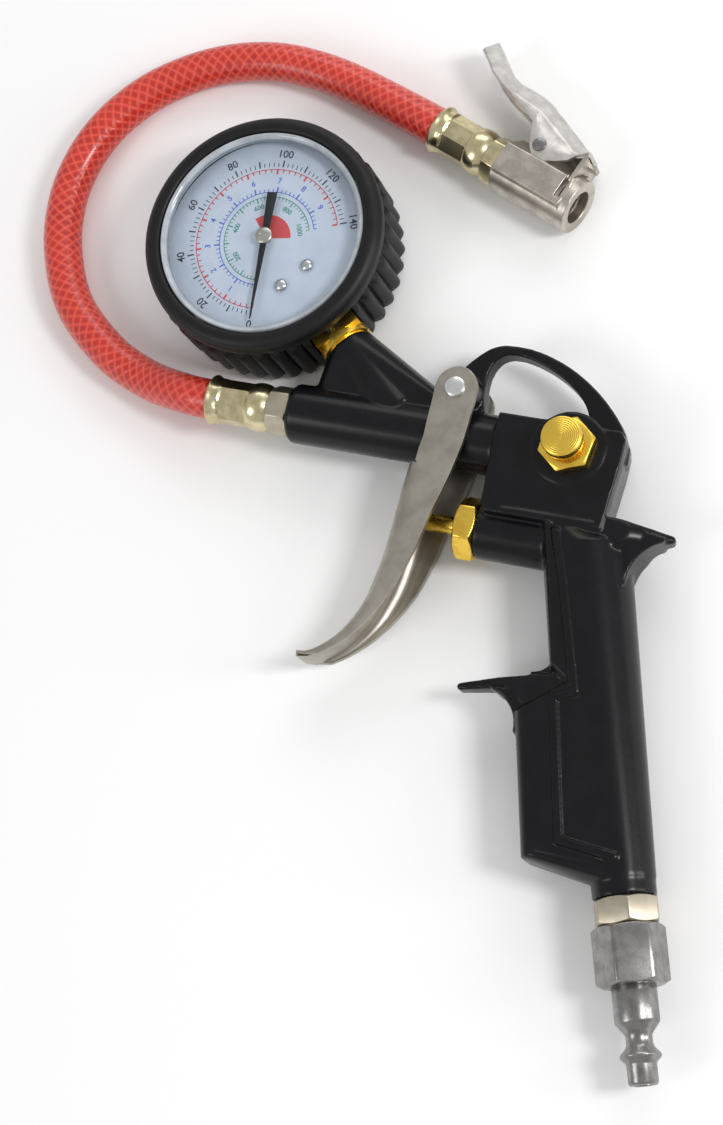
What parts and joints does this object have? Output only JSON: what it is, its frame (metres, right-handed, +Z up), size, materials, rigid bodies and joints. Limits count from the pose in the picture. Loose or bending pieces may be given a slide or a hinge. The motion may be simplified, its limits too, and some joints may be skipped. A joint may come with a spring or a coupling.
{
  "type": "portable tire inflator",
  "caption": "Pistol-grip air-line tire inflator with a booted dial gauge, a push bleeder, a short braided hose and a clip-on chuck.",
  "frame": {"origin": "middle of the object's outline seen from above, without the free hose and its chuck, on the surface it lies on", "axes": "+X along the barrel from the hose end to the rear, +Y from the grip's inlet up to the gauge, +Z up out of the gauge's dial"},
  "size_m": [0.2398, 0.2799, 0.0325],
  "materials": {
    "body_gloss": "gloss black paint over a die-cast body",
    "trigger_steel": "tumbled satin steel sheet",
    "rivet_steel": "bright riveted steel",
    "yellow_brass": "bright machined yellow brass",
    "nickel_brass": "pale nickel-washed brass",
    "plug_steel": "turned satin steel",
    "boot_rubber": "matte black rubber",
    "seal_rubber": "matte nitrile rubber",
    "case_black": "satin black painted steel",
    "lens_clear": "clear moulded lens",
    "dial_face": "printed white dial",
    "pointer_black": "satin black pointer",
    "hub_metal": "pale turned hub",
    "movement_brass": "stamped movement brass",
    "bronze_tube": "phosphor bronze",
    "spring_steel": "spring steel wire",
    "hose_red": "braided red hose, glossy",
    "ferrule_brass": "crimped pale brass",
    "chuck_zinc": "worn nickel plate"
  },
  "bodies": {
    "gun": {"gun_body": "body_gloss", "trigger_pin": "rivet_steel", "gland_nut": "yellow_brass", "stem_seal": "seal_rubber", "valve_seat": "movement_brass", "valve_spring": "spring_steel", "bleed_nut": "yellow_brass", "bleed_spring": "spring_steel", "inlet_adapter": "nickel_brass", "quick_plug": "plug_steel", "gauge_boot": "boot_rubber", "gauge_case": "case_black", "gauge_lens": "lens_clear", "dial_plate": "dial_face", "dial_screws": "rivet_steel", "movement_plates": "movement_brass", "movement_pillars": "movement_brass", "hair_spring": "bronze_tube", "bourdon_tube": "bronze_tube", "gauge_socket": "yellow_brass", "gun_hose_fitting": "nickel_brass", "gun_ferrule": "ferrule_brass", "hose": "hose_red", "chuck_ferrule": "ferrule_brass", "chuck_hose_fitting": "ferrule_brass", "chuck_body": "chuck_zinc", "chuck_pin": "rivet_steel", "chuck_spring": "spring_steel", "chuck_seal": "seal_rubber", "chuck_core_pin": "movement_brass"},
    "trigger": {"trigger_lever": "trigger_steel"},
    "stem": {"valve_stem": "yellow_brass", "poppet_seal": "seal_rubber"},
    "bleeder": {"bleed_button": "yellow_brass", "bleed_seal": "seal_rubber"},
    "needle": {"pointer": "pointer_black", "pointer_hub": "hub_metal", "pinion_shaft": "movement_brass"},
    "sector": {"sector_gear": "movement_brass"},
    "link": {"movement_link": "spring_steel"},
    "thumb_lever": {"chuck_lever": "chuck_zinc"},
    "jaw": {"chuck_jaw": "chuck_zinc"}
  },
  "joints": [
    {"name": "trigger_pivot", "type": "hinge", "parent": "gun", "child": "trigger", "pos_m": [0.00415, 0.05015, 0.012], "axis": [0, 0, 1], "range_deg": [0, 8], "stiffness_Nm_per_rad": 2, "springref_deg": -5.73},
    {"name": "stem_push", "type": "slide", "parent": "gun", "child": "stem", "axis": [1, 0, 0], "range_m": [0, 0.00504], "deforming": ["valve_spring"]},
    {"name": "bleed_push", "type": "slide", "parent": "gun", "child": "bleeder", "axis": [0, 0, -1], "range_m": [0, 0.0025], "stiffness_N_per_m": 2000, "springref_m": -0.002, "deforming": ["bleed_spring"]},
    {"name": "pointer_spin", "type": "hinge", "parent": "gun", "child": "needle", "pos_m": [-0.06245, 0.08535, 0.012], "axis": [0, 0, -1], "range_deg": [0, 254], "stiffness_Nm_per_rad": 0.0002, "deforming": ["hair_spring"]},
    {"name": "sector_swing", "type": "hinge", "parent": "gun", "child": "sector", "pos_m": [-0.0719, 0.07448, 0.012], "axis": [0, 0, 1], "range_deg": [0, 33.75]},
    {"name": "link_slide", "type": "slide", "parent": "gun", "child": "link", "axis": [-0.6561, -0.7547, 0], "range_m": [0, 0.00261], "deforming": ["bourdon_tube"]},
    {"name": "thumb_pivot", "type": "hinge", "parent": "gun", "child": "thumb_lever", "pos_m": [0.00821, 0.12633, 0.0081], "axis": [0, 0, 1], "range_deg": [0, 10], "stiffness_Nm_per_rad": 1, "springref_deg": -5.73},
    {"name": "jaw_slide", "type": "slide", "parent": "gun", "child": "jaw", "axis": [0.3697, 0.9291, 0], "range_m": [0, 0.00237]}
  ],
  "couplings": [
    {"joint": "stem_push", "follows": "trigger_pivot", "m_per_rad": 0.0361},
    {"joint": "sector_swing", "follows": "pointer_spin", "ratio": 0.125},
    {"joint": "link_slide", "follows": "pointer_spin", "m_per_rad": 0.0005545},
    {"joint": "jaw_slide", "follows": "thumb_pivot", "m_per_rad": 0.0136}
  ]
}
